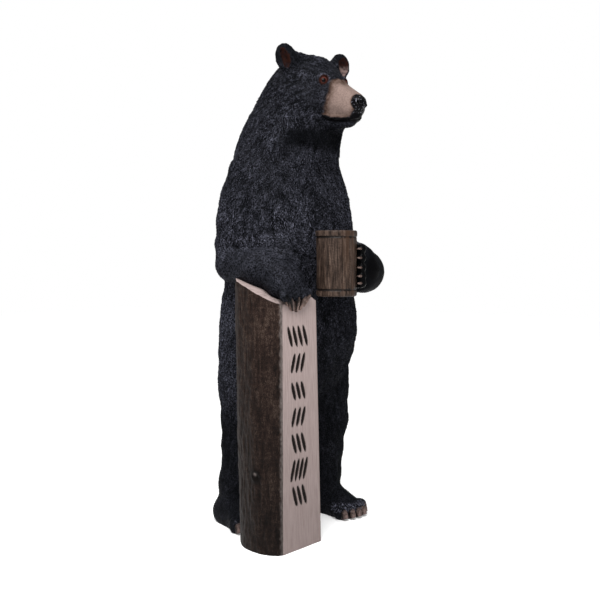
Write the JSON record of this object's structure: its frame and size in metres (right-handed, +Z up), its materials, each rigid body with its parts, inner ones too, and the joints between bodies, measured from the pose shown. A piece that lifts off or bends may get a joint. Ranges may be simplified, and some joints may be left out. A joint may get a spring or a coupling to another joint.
{
  "type": "standing bear statue with sign post",
  "caption": "Life-size standing black bear leaning its forearm on an upright split-log sign post and holding a wooden tankard in its other paw.",
  "frame": {"origin": "on the floor, in the middle of the whole group's footprint box", "axes": "+Z up; the bear faces -Y, so its left is +X"},
  "size_m": [0.7437, 0.6722, 1.7863],
  "materials": {
    "coat": "moulded fur, black paint dry-brushed with blue-grey, satin",
    "muzzle": "airbrushed tan paint, satin",
    "nose": "gloss black paint",
    "claw": "brown horn-coloured paint, satin",
    "eye": "amber iris with black pupil under a clear gloss",
    "log": "moulded bark, dark brown wash, matt",
    "log_face": "moulded split wood, pale pinkish cream, matt",
    "lettering": "dark brown paint in carved strokes",
    "staves": "moulded wood grain, brown wash, satin"
  },
  "bodies": {
    "root": {"bear": "coat", "right_eye": "eye", "left_eye": "eye", "sign_post": "log", "mug": "staves"}
  },
  "joints": []
}
